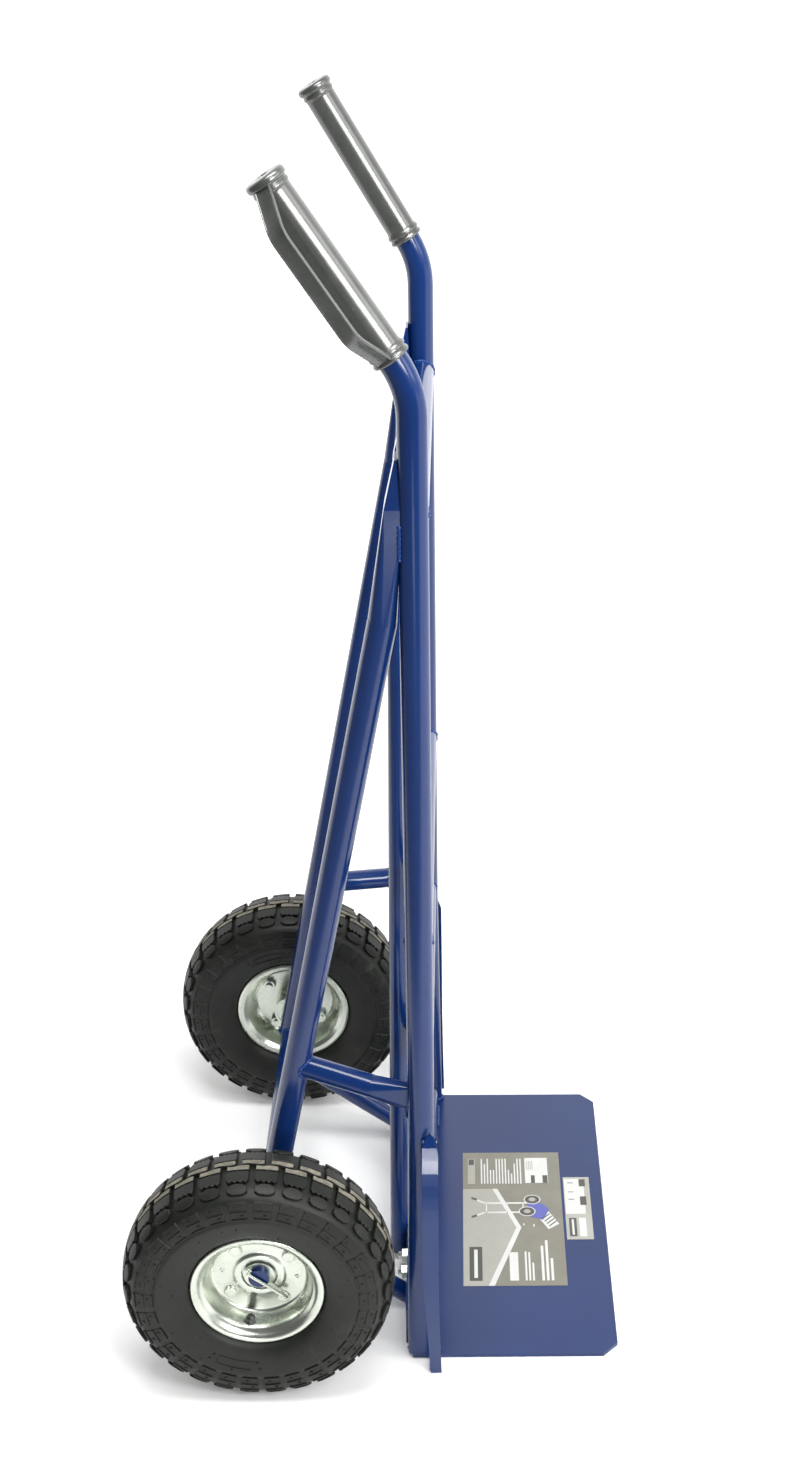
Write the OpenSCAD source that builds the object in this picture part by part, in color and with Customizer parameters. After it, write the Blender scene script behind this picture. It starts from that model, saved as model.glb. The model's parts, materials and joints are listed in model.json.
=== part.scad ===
// Hand truck: welded steel tube frame with a flat toe plate, two air-filled wheels that turn
// on one fixed axle, and two hand grips with knuckle guards.
// Millimetres. +X is forward, the side of the toe plate. +Y is the truck's left. +Z is up.
// The origin is on the floor, in the middle of the bounding box.

/* [Sub-part] */
// Sub-part to show

/* [Frame] */
// Height of the crown of the bends where the uprights turn back into the grips
bend_z = 969; // [900:1:1050]
// Distance between the centre lines of the two uprights
upright_span = 414; // [380:2:460]
// Diameter of the upright, strut and crossbar tube
tube_d = 25; // [24:0.5:27]
// Wall of all the tubes
tube_wall = 1.5; // [1:0.1:2]
// Diameter of the braces from the struts to the uprights
brace_d = 22; // [20:0.5:23.5]
// Diameter of the stays from the axle down to the toe plate
stay_d = 19.4; // [18:0.2:20.6]
// Diameter of the two inner bars behind the crossbars
inner_bar_d = 19; // [17:0.5:20]
// Backward tilt of the grips from vertical
grip_tilt = 34; // [25:1:40]
// Centre line radius of the upright bends
bend_r = 85; // [70:5:120]

/* [Toe plate] */
// Reach of the toe plate in front of the uprights' centre line
toe_reach = 195; // [160:5:240]
// Width of the toe plate
toe_width = 424; // [400:2:460]
// Thickness of the toe plate
toe_t = 4; // [3:0.5:5]
// Height of the lip folded up at the back of the toe plate
lip_h = 44; // [36:1:60]

/* [Wheels] */
// Outside diameter of the tyres
tyre_d = 260; // [250:2:264]
// Distance between the middle planes of the two tyres
track = 464; // [458:1:480]
// Distance of the axle behind the uprights' centre line
axle_back = 156; // [150:2:175]
// Diameter of the axle
axle_d = 20; // [20:0.1:20.4]
// Number of tread blocks round a tyre
block_count = 30; // [24:2:36]

/* [Grips] */
// Length of a hand grip
grip_len = 165; // [150:1:180]
// Outside diameter of the grip sleeve
grip_d = 28.5; // [28:0.5:31]
// Turn of the right knuckle guard from straight outboard towards the back
guard_turn_right = 15; // [0:1:50]
// Turn of the left knuckle guard from straight outboard towards the back
guard_turn_left = 12; // [0:1:50]

/* [Hidden] */
$fn = 64;
eps = 0.01;
datum_x = (axle_back + tyre_d / 2 - toe_reach) / 2;
upright_y = upright_span / 2;
tube_r = tube_d / 2;
tube_bore = tube_d - 2 * tube_wall;
wheel_y = track / 2;
axle_z = tyre_d / 2;
plate_y = toe_width / 2;
paint = [0.06, 0.09, 0.36];
zinc = [0.78, 0.79, 0.76];
rubber = [0.09, 0.09, 0.09];
grip_grey = [0.2, 0.2, 0.2];

// the left upright bends a little higher and less than the right one
left_rise = 5.5;
left_tilt_less = 3;

// flattened foot of an upright
foot_w = 30.8;
foot_t = 14.8;
foot_top = 30;
foot_taper_top = 280;

// lengths of one upright's tube lap inside the next one's wall
lap = 1;
lap_step = 0.1;
grip_run_d = tube_d - lap_step;

// crossbars: height of the centre line
top_bar_z = 890;
mid_bar_z = 487;
low_bar_z = 300;
low_bar_x = -1.8;
base_bar_x = -2;
base_bar_z = toe_t + tube_r;
lip_t = 3.5;
lip_back = base_bar_x - tube_r - lip_t;
lip_half = 192;

// step in diameter where a round tube turns into its flattened end
pad_step = 0.4;

// inner bars behind the crossbars
inner_bar_y = 60;
inner_bar_lean = 10.1;
inner_bar_foot_z = 8;
inner_pad_t = 8;
inner_pad_w = 27;
inner_pad_z = 850;
inner_pad_top = 914;

// struts from the axle up to the back of the uprights
strut_foot_y = 165;
strut_head = [-26.5, 201.5, 796];
strut_pad_t = 11;
strut_pad_w = 29;
strut_pad_z = 868;
strut_pad_top = 936;
strut_pad_y = 199.5;

// braces from the struts to the uprights
brace_back_z = 334;
brace_front_z = 312;
left_brace_drop = 14;
brace_pinch_t = 8;
brace_pinch_h = 24;
pinch_start = 0.6;
pinch_flat = 0.8;

// stays from the axle to the lip of the toe plate
stay_y = 135;
stay_back_z = 118;
stay_front_z = 13.2;

// wheel guards: flat bars bowed outwards in front of the wheels
guard_bar_t = 3;
guard_top_right = 286;
guard_top_left = 272;
guard_bow = 22;
guard_foot_gap = 10.5;
guard_steps = 24;

// toe bolts through the bottom crossbar and the lip
toe_bolt_y = [80, 105];
toe_bolt_r = 4;
toe_nut_af = 13;
toe_nut_t = 6.5;

// wheel: local z runs outboard along the axle, zero at the middle plane of the tyre
rim_disc_t = 2;
rim_bolt_circle_r = 36;
rim_bolt_r = 4;
rim_bolt_turn = 37;
hub_r = 21;
hub_bore_r = 18.5;
hub_in = -30;
hub_out = 2.4;
bearing_w = 9;
bearing_out_z = -7.6;
bearing_in_z = -29;
spacer_end = bearing_in_z - 2;
cone_r = 13;
run_gap = 0.05;
washer_r = 15;
washer_t = 2;
washer_z = hub_out + 0.4;
axle_stub = 10;
pin_r = 1.6;
pin_z = 6.6;
pin_turn = -40;
pin_reach = 31;
pin_back = 14.5;
valve_turn = -102;
valve_r = 4.5;
valve_lean = 60;
valve_bore_r = 1.5;
valve_len = 8.5;
valve_stem_r = 2.6;
tread_depth = 6;
groove_w = 4.5;

function side_point(p, side) = [p[0], side * p[1], p[2]];

// straight rod between two points
module rod(p, q, d) {
  v = q - p;
  len = norm(v);
  translate(p)
    rotate([0, acos(v[2] / len), atan2(v[1], v[0])])
      cylinder(d = d, h = len);
}

// thin disc closing the far end of a rod, the start of a flattened end
module thin_disc(p, q, d) {
  v = (q - p) / norm(q - p);
  rod(q - v * 2 * eps, q - v * eps, d, $fn = 48);
}

// straight tube between two points, open at both ends
module tube(p, q, d) {
  v = (q - p) / norm(q - p);
  difference() {
    rod(p, q, d);
    rod(p - v, q + v, d - 2 * tube_wall);
  }
}

// solid rod from one upright to the other
module across(x, z, d) {
  rod([x, -upright_y, z], [x, upright_y, z], d);
}

// moves a wheel part from its own frame onto the axle
module on_axle(side) {
  translate([-axle_back, side * wheel_y, axle_z])
    rotate([-90 * side, 0, 0])
      children();
}

module place() {
  translate([datum_x, 0, 0])
    children();
}

// ---- uprights ----

module oval(w, t) {
  corners = 48;
  polygon([for (i = [0 : corners - 1])
    [w / 2 * cos(360 * (i + 0.5) / corners), t / 2 * sin(360 * (i + 0.5) / corners)]]);
}

module foot_taper(grow, top_d, extra) {
  hull() {
    translate([0, 0, foot_taper_top])
      cylinder(d = top_d, h = lap + extra, $fn = 40);
    translate([0, 0, foot_top - extra])
      linear_extrude(extra + eps)
        oval(foot_w + 2 * grow, foot_t + 2 * grow);
  }
}

// plain flattened end, a hair thinner than the taper it starts in
module foot_end() {
  bore_w = foot_w - 2 * tube_wall + lap_step;
  bore_t = foot_t - 2 * tube_wall + lap_step;
  translate([0, 0, toe_t])
    linear_extrude(foot_top + lap - toe_t)
      difference() {
        oval(foot_w - lap_step, foot_t - lap_step);
        oval(bore_w, bore_t);
      }
}

function tilt_of(side) = grip_tilt - (side > 0 ? left_tilt_less : 0);

function bend_z_of(side) = bend_z + (side > 0 ? left_rise : 0);

// local z runs up along the grip from the end of the bend
module grip_frame(side) {
  translate([-bend_r, 0, bend_z_of(side)])
    rotate([0, -tilt_of(side), 0])
      translate([bend_r, 0, 0])
        children();
}

// hollow run of tube from the taper up round the bend
module upper_run(side) {
  rise = bend_z_of(side) - foot_taper_top;
  translate([0, 0, foot_taper_top])
    difference() {
      cylinder(d = tube_d, h = rise);
      translate([0, 0, -1])
        cylinder(d = tube_bore, h = rise + 2);
    }
  translate([-bend_r, 0, bend_z_of(side)])
    rotate([90, 0, 0])
      rotate_extrude(angle = tilt_of(side))
        translate([bend_r, 0])
          difference() {
            circle(d = tube_d);
            circle(d = tube_bore);
          }
}

// straight end of the tube inside the grip, a hair slimmer than the bend it starts in
module grip_run(side) {
  grip_frame(side)
    translate([0, 0, -lap])
      difference() {
        cylinder(d = grip_run_d, h = grip_len - 8 + lap);
        translate([0, 0, -1])
          cylinder(d = tube_bore + lap_step, h = grip_len + 2);
      }
}

module upright(side) {
  color(paint)
    place()
      translate([0, side * upright_y, 0]) {
        upper_run(side);
        grip_run(side);
        foot_end();
        difference() {
          foot_taper(0, tube_d - lap_step, 0);
          foot_taper(-tube_wall, tube_bore + lap_step, lap);
        }
      }
}

module upright_right() { upright(-1); }

module upright_left() { upright(1); }

// ---- crossbars ----

// room taken by an upright, for cutting the ends of the parts welded to it
module upright_room(side) {
  translate([0, side * upright_y, foot_taper_top - 1])
    cylinder(d = tube_d, h = bend_z - foot_taper_top);
}

module crossbar(x, z, d) {
  end_y = upright_y - 2;
  color(paint)
    place()
      difference() {
        tube([x, -end_y, z], [x, end_y, z], d);
        for (side = [-1, 1])
          upright_room(side);
      }
}

module crossbar_top() { crossbar(0, top_bar_z, tube_d); }

module crossbar_middle() { crossbar(0, mid_bar_z, tube_d); }

module crossbar_lower() { crossbar(low_bar_x, low_bar_z, tube_d); }

// the bottom crossbar stops at the flattened feet and has the toe bolt holes
module crossbar_bottom() {
  end_y = upright_y - 1;
  color(paint)
    place()
      difference() {
        tube([base_bar_x, -end_y, base_bar_z], [base_bar_x, end_y, base_bar_z], tube_d);
        for (side = [-1, 1])
          translate([0, side * upright_y, 0])
            linear_extrude(foot_top)
              oval(foot_w, foot_t);
        for (side = [-1, 1], y = toe_bolt_y)
          translate([-40, side * y, base_bar_z])
            rotate([0, 90, 0])
              cylinder(r = toe_bolt_r + 0.1, h = 80);
      }
}

// ---- inner bars ----

module inner_bar(side) {
  rear = -tube_r;
  foot = [lip_back - inner_bar_d / 2 - 0.5, side * inner_bar_y, inner_bar_foot_z];
  head = [foot[0] + inner_bar_lean, side * inner_bar_y, 800];
  color(paint)
    place() {
      tube(foot, head, inner_bar_d);
      difference() {
        hull() {
          thin_disc(foot, head, inner_bar_d - pad_step);
          translate([rear - inner_pad_t, side * inner_bar_y - inner_pad_w / 2, inner_pad_z])
            cube([inner_pad_t + 2, inner_pad_w, top_bar_z - inner_pad_z]);
          translate([rear - 3, side * inner_bar_y - inner_pad_w / 2, inner_pad_top - 1])
            cube([3, inner_pad_w, 1]);
        }
        across(0, top_bar_z, tube_d);
      }
    }
}

module inner_bar_right() { inner_bar(-1); }

module inner_bar_left() { inner_bar(1); }

// ---- struts ----

function strut_foot(side) = [-axle_back, side * strut_foot_y, axle_z];

function strut_top(side) = side_point(strut_head, side);

module strut(side) {
  rear = -tube_r;
  pad_y = side * strut_pad_y - strut_pad_w / 2;
  color(paint)
    place() {
      difference() {
        tube(strut_foot(side), strut_top(side), tube_d);
        across(-axle_back, axle_z, axle_d);
        upright_room(side);
      }
      difference() {
        hull() {
          thin_disc(strut_foot(side), strut_top(side), tube_d - pad_step);
          translate([rear - strut_pad_t, pad_y, strut_pad_z])
            cube([strut_pad_t + 2, strut_pad_w, strut_pad_top - 40 - strut_pad_z]);
          translate([rear - 2, pad_y + 3, strut_pad_top])
            cube([2, strut_pad_w - 6, 1]);
        }
        upright_room(side);
        across(0, top_bar_z, tube_d);
      }
    }
}

module strut_right() { strut(-1); }

module strut_left() { strut(1); }

// ---- braces ----

function on_strut(side, z) =
  strut_foot(side) + (strut_top(side) - strut_foot(side))
    * (z - axle_z) / (strut_head[2] - axle_z);

module brace(side) {
  back = on_strut(side, brace_back_z - (side > 0 ? left_brace_drop : 0));
  front = [0, side * upright_y, brace_front_z];
  v = front - back;
  pinch_a = back + v * pinch_start;
  pinch_b = back + v * pinch_flat;
  color(paint)
    place()
      difference() {
        union() {
          tube(back, pinch_a, brace_d);
          hull() {
            thin_disc(back, pinch_a, brace_d - pad_step);
            translate(pinch_b)
              rotate([0, 0, atan2(v[1], v[0])])
                translate([-1, -brace_pinch_t / 2, -brace_pinch_h / 2])
                  cube([24, brace_pinch_t, brace_pinch_h]);
          }
        }
        rod(strut_foot(side), strut_top(side), tube_d);
        upright_room(side);
        across(low_bar_x, low_bar_z, tube_d);
      }
}

module brace_right() { brace(-1); }

module brace_left() { brace(1); }

// ---- stays ----

module stay(side) {
  back = [-axle_back, side * stay_y, stay_back_z];
  front = [lip_back, side * stay_y, stay_front_z];
  v = (front - back) / norm(front - back);
  color(paint)
    place()
      difference() {
        tube(back, front + v * stay_d, stay_d);
        across(-axle_back, axle_z, axle_d);
        translate([lip_back, side * stay_y - stay_d, -stay_d])
          cube([3 * stay_d, 2 * stay_d, 4 * stay_d]);
      }
}

module stay_right() { stay(-1); }

module stay_left() { stay(1); }

// ---- toe plate ----

// gap between the upright's centre line and the inner face of a wheel guard, t runs down from 0 to 1
function guard_offset(t) =
  tube_r + guard_bow * sin(180 * pow(t, 0.8)) + guard_foot_gap * t;

guard_foot_y = upright_y + guard_offset(1);

module toe_plate() {
  toe_chamfer = 15;
  ear_x = [6, 15];
  color(paint)
    place()
      difference() {
        union() {
          linear_extrude(toe_t)
            polygon([
              [lip_back, -lip_half], [-11, -lip_half], [-11, -plate_y],
              [ear_x[0], -plate_y], [ear_x[0], -guard_foot_y + 0.2],
              [ear_x[1], -guard_foot_y + 0.2], [ear_x[1], -plate_y],
              [toe_reach - toe_chamfer, -plate_y], [toe_reach, -plate_y + toe_chamfer],
              [toe_reach, plate_y - toe_chamfer], [toe_reach - toe_chamfer, plate_y],
              [ear_x[1], plate_y], [ear_x[1], guard_foot_y - 0.2],
              [ear_x[0], guard_foot_y - 0.2], [ear_x[0], plate_y],
              [-11, plate_y], [-11, lip_half], [lip_back, lip_half]]);
          translate([lip_back, -lip_half, 0])
            cube([lip_t, 2 * lip_half, lip_h]);
        }
        for (side = [-1, 1], y = toe_bolt_y)
          translate([lip_back - 5, side * y, base_bar_z])
            rotate([0, 90, 0])
              cylinder(r = toe_bolt_r + 0.1, h = 20);
      }
}

module hex(af, h) {
  cylinder(d = af / cos(30), h = h, $fn = 6);
}

module toe_bolts() {
  head_t = 2.4;
  head_r = 7.5;
  front = base_bar_x + tube_r;
  color(zinc)
    place()
      for (side = [-1, 1], y = toe_bolt_y)
        translate([front, side * y, base_bar_z])
          rotate([0, 90, 0]) {
            cylinder(r1 = head_r, r2 = head_r - 2, h = head_t);
            translate([0, 0, lip_back - front - toe_nut_t - 4])
              cylinder(r = toe_bolt_r, h = front - lip_back + toe_nut_t + 4 + eps);
          }
}

module toe_nuts() {
  color(zinc)
    place()
      for (side = [-1, 1], y = toe_bolt_y)
        translate([lip_back - toe_nut_t, side * y, base_bar_z])
          rotate([0, 90, 0])
            difference() {
              hex(toe_nut_af, toe_nut_t);
              translate([0, 0, -1])
                cylinder(r = toe_bolt_r, h = toe_nut_t + 2);
            }
}

// ---- wheel guards ----

function guard_y(i, extra) = upright_y + guard_offset(i / guard_steps) + extra;

function guard_z(i, top) = top * (1 - i / guard_steps);

// front and back edges of a wheel guard seen from the side
module guard_outline(top) {
  polygon([[4.5, top - 4], [1, top - 13], [1, 130], [3.5, 78], [5.5, 35], [7, 0],
    [18, 0], [17, 45], [16.2, 100], [16, top - 18], [12.5, top - 3], [9, top]]);
}

module wheel_guard(side, top) {
  color(paint)
    place()
      intersection() {
        rotate([90, 0, 90])
          linear_extrude(30)
            polygon([
              for (i = [0 : guard_steps]) [side * guard_y(i, 0), guard_z(i, top)],
              for (i = [guard_steps : -1 : 0])
                [side * guard_y(i, guard_bar_t), guard_z(i, top)]]);
        rotate([90, 0, 0])
          linear_extrude(4 * upright_span, center = true)
            guard_outline(top);
      }
}

module wheel_guard_right() { wheel_guard(-1, guard_top_right); }

module wheel_guard_left() { wheel_guard(1, guard_top_left); }

// ---- axle ----

module axle() {
  reach = wheel_y + axle_stub;
  color(paint)
    place()
      difference() {
        translate([-axle_back, reach, axle_z])
          rotate([90, 0, 0])
            cylinder(d = axle_d, h = 2 * reach);
        for (side = [-1, 1])
          on_axle(side)
            rotate([0, 0, pin_angle(side)])
              translate([-axle_d, 0, pin_z])
                rotate([0, 90, 0])
                  cylinder(r = pin_r + 0.1, h = 2 * axle_d);
      }
}

module axle_spacers() {
  inner_end = strut_foot_y + tube_r + 2;
  outer_end = wheel_y + spacer_end;
  color(zinc)
    place()
      for (side = [-1, 1])
        on_axle(side)
          translate([0, 0, inner_end - wheel_y])
            difference() {
              cylinder(r = cone_r, h = outer_end - inner_end);
              translate([0, 0, -1])
                cylinder(d = axle_d, h = outer_end - inner_end + 2);
            }
}

module axle_washers() {
  color(zinc)
    place()
      for (side = [-1, 1])
        on_axle(side)
          translate([0, 0, washer_z])
            difference() {
              cylinder(r = washer_r, h = washer_t);
              translate([0, 0, -1])
                cylinder(d = axle_d, h = washer_t + 2);
            }
}

// inner rings of the four bearings, fixed on the axle
module bearing_cones() {
  color(zinc)
    place()
      for (side = [-1, 1])
        on_axle(side)
          for (z = [[spacer_end, bearing_in_z + bearing_w], [bearing_out_z, washer_z]])
            translate([0, 0, z[0]])
              difference() {
                cylinder(r = cone_r, h = z[1] - z[0]);
                translate([0, 0, -1])
                  cylinder(d = axle_d, h = z[1] - z[0] + 2);
              }
}

function pin_angle(side) = side < 0 ? pin_turn : 180 - pin_turn;

// hairpin: one leg through the axle, the other folded over its end
module split_pin(side) {
  front_z = axle_stub + pin_r + 0.4;
  fold_r = (front_z - pin_z) / 2;
  color(zinc)
    place()
      on_axle(side)
        rotate([0, 0, pin_angle(side)]) {
          translate([-pin_back, 0, pin_z])
            rotate([0, 90, 0])
              cylinder(r = pin_r, h = pin_back + pin_reach);
          translate([-pin_back + 1, 0, front_z])
            rotate([0, 90, 0])
              cylinder(r = pin_r, h = pin_back + pin_reach - 1);
          translate([pin_reach, 0, (front_z + pin_z) / 2])
            rotate([90, 0, 0])
              rotate([0, 0, -90])
                rotate_extrude(angle = 180)
                  translate([fold_r, 0])
                    circle(r = pin_r);
        }
}

module split_pin_right() { split_pin(-1); }

module split_pin_left() { split_pin(1); }

// ---- grips ----

module grip_profile() {
  r = grip_d / 2;
  bore_r = grip_run_d / 2;
  polygon([
    [0, grip_len + 2.5], [0, grip_len - 2], [bore_r, grip_len - 2], [bore_r, 1], [r + 1, 1],
    [r + 2, 2], [r + 2, 4], [r + 1, 5], [r + 1, 6], [r + 2, 7], [r + 2, 9.5], [r + 1, 11],
    [r, 12], [r, grip_len - 8], [r + 1, grip_len - 7.5], [r + 1.4, grip_len - 6.5],
    [r + 1.2, grip_len - 4], [r + 1.2, grip_len - 3], [r + 2.2, grip_len - 2],
    [r + 2.2, grip_len + 0.5], [r + 1, grip_len + 2], [r - 1, grip_len + 2.5]]);
}

// knuckle guard: a flat strap standing off the grip, seen along its width
module knuckle_strap() {
  r = grip_d / 2;
  out = 40.6;
  in = 36.8;
  low = 36;
  high = grip_len - 35;
  polygon([
    [r - 1.5, grip_len - 1], [r + 2, grip_len - 1.5], [out - 1.4, high + 3], [out, high - 2],
    [out, low + 2], [out - 1.2, low - 3], [out - 4, low - 8], [r + 3, 5], [r - 1.5, 3],
    [r - 1.5, 8], [r + 1, 9], [in - 4, low - 5], [in - 1, low - 1], [in, low + 4],
    [in, high - 4], [in - 1.2, high], [r + 1, grip_len - 9], [r - 1.5, grip_len - 8]]);
}

module grip(side, turn) {
  strap_w = 16;
  color(grip_grey)
    place()
      translate([0, side * upright_y, 0])
        grip_frame(side) {
          difference() {
            union() {
              rotate_extrude()
                grip_profile();
              rotate([0, 0, side * (90 + turn)])
                rotate([90, 0, 0])
                  linear_extrude(strap_w, center = true)
                    knuckle_strap();
            }
            translate([0, 0, -1])
              cylinder(d = grip_run_d, h = grip_len - 1);
            translate([0, 0, grip_len - 4])
              cylinder(r = 4, h = 12);
          }
        }
}

module grip_right() { grip(-1, guard_turn_right); }

module grip_left() { grip(1, guard_turn_left); }

// ---- labels ----

module label(x, y, w, d) {
  label_t = 0.25;
  place()
    translate([x, y, toe_t])
      cube([w, d, label_t]);
}

module product_label() {
  color([0.55, 0.55, 0.5])
    label(40, -115, 109, 218);
}

module code_label() {
  color([0.85, 0.85, 0.85])
    label(152, -44, 29, 103);
}

// ---- wheels ----

// pressed rim half, dish side up
module rim_section(hole_r, embossed) {
  top = embossed
    ? [[hole_r, 4.5], [23.5, 4.5], [26, 2]]
    : [[hole_r, 2]];
  under = embossed
    ? [[26, 0.01], [23, 2.5], [hole_r, 2.5]]
    : [[hole_r, 0.01]];
  polygon(concat(top,
    [[43.5, 2], [46.5, 4.5], [51, 19], [53, 23.5], [57, 27], [61.5, 28], [63.6, 27.2],
     [64, 25.6], [64, 24], [62.2, 24], [61.8, 25.6], [57.6, 25], [54.8, 22.6], [53, 18],
     [48.6, 3.4], [45, 0.01]],
    under));
}

module rim_cuts(angles, r, hole_r) {
  for (a = angles)
    rotate([0, 0, a])
      translate([r, 0, -5])
        cylinder(r = hole_r, h = 12);
}

rim_bolt_angles = [for (k = [0 : 3]) rim_bolt_turn + 90 * k];

module valve_axis() {
  rotate([0, 0, valve_turn])
    translate([52.5, 0, 11])
      rotate([0, -valve_lean, 0])
        children();
}

module rim_outer(side) {
  color(zinc)
    place()
      on_axle(side)
        difference() {
          rotate_extrude($fn = 96)
            rim_section(16.6, true);
          rim_cuts(rim_bolt_angles, rim_bolt_circle_r, rim_bolt_r);
          rim_cuts([-6, 173], rim_bolt_circle_r, 2.5);
          valve_axis()
            cylinder(r = valve_r, h = 20);
        }
}

module rim_inner(side) {
  color(zinc)
    place()
      on_axle(side)
        mirror([0, 0, 1])
          difference() {
            rotate_extrude($fn = 96)
              rim_section(hub_r + 0.05, false);
            rim_cuts(rim_bolt_angles, rim_bolt_circle_r, rim_bolt_r);
          }
}

module rim_bolts(side) {
  color(zinc)
    place()
      on_axle(side)
        for (a = rim_bolt_angles)
          rotate([0, 0, a])
            translate([rim_bolt_circle_r, 0, 0]) {
              translate([0, 0, rim_disc_t])
                cylinder(r1 = 6.6, r2 = 5, h = 2.4);
              translate([0, 0, -11])
                cylinder(r = rim_bolt_r - 0.05, h = 11 + rim_disc_t + eps);
            }
}

module rim_nuts(side) {
  nut_t = 6;
  flat_turn = 30;
  color(zinc)
    place()
      on_axle(side)
        for (a = rim_bolt_angles)
          rotate([0, 0, a])
            translate([rim_bolt_circle_r, 0, -rim_disc_t - nut_t])
              rotate([0, 0, flat_turn])
                difference() {
                  hex(toe_nut_af, nut_t);
                  translate([0, 0, -1])
                    cylinder(r = rim_bolt_r, h = nut_t + 2);
                }
}

module hub(side) {
  color(zinc)
    place()
      on_axle(side)
        translate([0, 0, hub_in])
          difference() {
            cylinder(r = hub_r, h = hub_out - hub_in);
            translate([0, 0, -1])
              cylinder(r = hub_bore_r, h = hub_out - hub_in + 2);
          }
}

// outer rings with their balls and seals, turning with the wheel
module bearings(side) {
  color(zinc)
    place()
      on_axle(side)
        for (z = [bearing_in_z, bearing_out_z])
          translate([0, 0, z])
            difference() {
              cylinder(r = hub_bore_r, h = bearing_w);
              translate([0, 0, -1])
                cylinder(r = cone_r + run_gap, h = bearing_w + 2);
            }
}

module valve(side) {
  color(rubber)
    place()
      on_axle(side)
        valve_axis()
          difference() {
            union() {
              translate([0, 0, 1.5])
                cylinder(r = valve_r - 0.05, h = valve_len - 1.5);
              translate([0, 0, valve_len - eps])
                cylinder(r = valve_stem_r, h = 3);
            }
            cylinder(r = valve_bore_r, h = valve_len + 5);
          }
}

module valve_cap(side) {
  color(rubber)
    place()
      on_axle(side)
        valve_axis()
          translate([0, 0, valve_len])
            difference() {
              cylinder(r = valve_r - 0.5, h = 5);
              translate([0, 0, -1])
                cylinder(r = valve_stem_r, h = 5);
            }
}

// ---- tubes and tyres ----

// half sections as [radius, distance from the middle plane]
tube_half = [[53.5, 10], [61.5, 17], [71, 27], [84, 33], [97, 35], [109, 32.5],
  [117.4, 23.6], [120.8, 10]];
casing_out = [[54, 18.5], [55.8, 21.6], [58, 23.6], [61.6, 23.6], [64.8, 23.4], [65, 27],
  [68, 30.5], [75, 35], [85, 38.6], [95, 40.5], [105, 40.6], [112, 39.2], [118, 36.6],
  [123, 32.4], [126.6, 25], [128.8, 14], [130, 0]];
casing_in = [[54, 11], [61.2, 17.4], [70.6, 27.4], [83.8, 33.5], [97, 35.6], [109.4, 33],
  [118, 24], [121.4, 10]];
tube_mid_r = 88;
tube_skin = 0.926;

// the outer part of a section grows and shrinks with the tyre
function swell(p) = [p[0] > 110 ? p[0] * tyre_d / 260 : p[0], p[1]];

function other_side(points) = [for (p = points) [p[0], -p[1]]];

function backwards(points) = [for (i = [len(points) - 1 : -1 : 0]) points[i]];

function slimmer(p) = [tube_mid_r + (p[0] - tube_mid_r) * tube_skin, p[1] * tube_skin];

module inner_tube(side) {
  ring = [for (p = concat(tube_half, backwards(other_side(tube_half)))) swell(p)];
  color(rubber)
    place()
      on_axle(side)
        difference() {
          rotate_extrude($fn = 96)
            difference() {
              polygon(ring);
              polygon([for (p = ring) slimmer(p)]);
            }
          valve_axis()
            translate([0, 0, -14])
              cylinder(r = valve_bore_r, h = 14);
        }
}

module tyre(side) {
  r = tyre_d / 2;
  pitch = 360 / block_count;
  section = concat(casing_out, backwards(other_side(casing_out)), other_side(casing_in),
    backwards(casing_in));
  color(rubber)
    place()
      on_axle(side)
        difference() {
          rotate_extrude($fn = 96)
            polygon([for (p = section) swell(p)]);
          for (k = [0 : block_count - 1]) {
            rotate([0, 0, k * pitch])
              translate([r - tread_depth, -groove_w / 2, -tyre_d / 2])
                cube([2 * tread_depth, groove_w, tyre_d / 2 - 3]);
            rotate([0, 0, (k + 0.5) * pitch])
              translate([r - tread_depth, -groove_w / 2, 3])
                cube([2 * tread_depth, groove_w, tyre_d / 2 - 3]);
          }
        }
}

module tyre_right() { tyre(-1); }

module tyre_left() { tyre(1); }

module inner_tube_right() { inner_tube(-1); }

module inner_tube_left() { inner_tube(1); }

module rim_outer_right() { rim_outer(-1); }

module rim_outer_left() { rim_outer(1); }

module rim_inner_right() { rim_inner(-1); }

module rim_inner_left() { rim_inner(1); }

module rim_bolts_right() { rim_bolts(-1); }

module rim_bolts_left() { rim_bolts(1); }

module rim_nuts_right() { rim_nuts(-1); }

module rim_nuts_left() { rim_nuts(1); }

module hub_right() { hub(-1); }

module hub_left() { hub(1); }

module bearings_right() { bearings(-1); }

module bearings_left() { bearings(1); }

module valve_right() { valve(-1); }

module valve_left() { valve(1); }

module valve_cap_right() { valve_cap(-1); }

module valve_cap_left() { valve_cap(1); }

upright_right();
upright_left();
crossbar_top();
crossbar_middle();
crossbar_lower();
crossbar_bottom();
inner_bar_right();
inner_bar_left();
strut_right();
strut_left();
brace_right();
brace_left();
stay_right();
stay_left();
toe_plate();
wheel_guard_right();
wheel_guard_left();
toe_bolts();
toe_nuts();
axle();
axle_spacers();
axle_washers();
bearing_cones();
split_pin_right();
split_pin_left();
grip_right();
grip_left();
product_label();
code_label();
tyre_right();
inner_tube_right();
rim_outer_right();
rim_inner_right();
rim_bolts_right();
rim_nuts_right();
hub_right();
bearings_right();
valve_right();
valve_cap_right();
tyre_left();
inner_tube_left();
rim_outer_left();
rim_inner_left();
rim_bolts_left();
rim_nuts_left();
hub_left();
bearings_left();
valve_left();
valve_cap_left();
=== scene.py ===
import bpy
import bmesh
import json
import math
import random
from mathutils import Matrix, Vector


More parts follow.
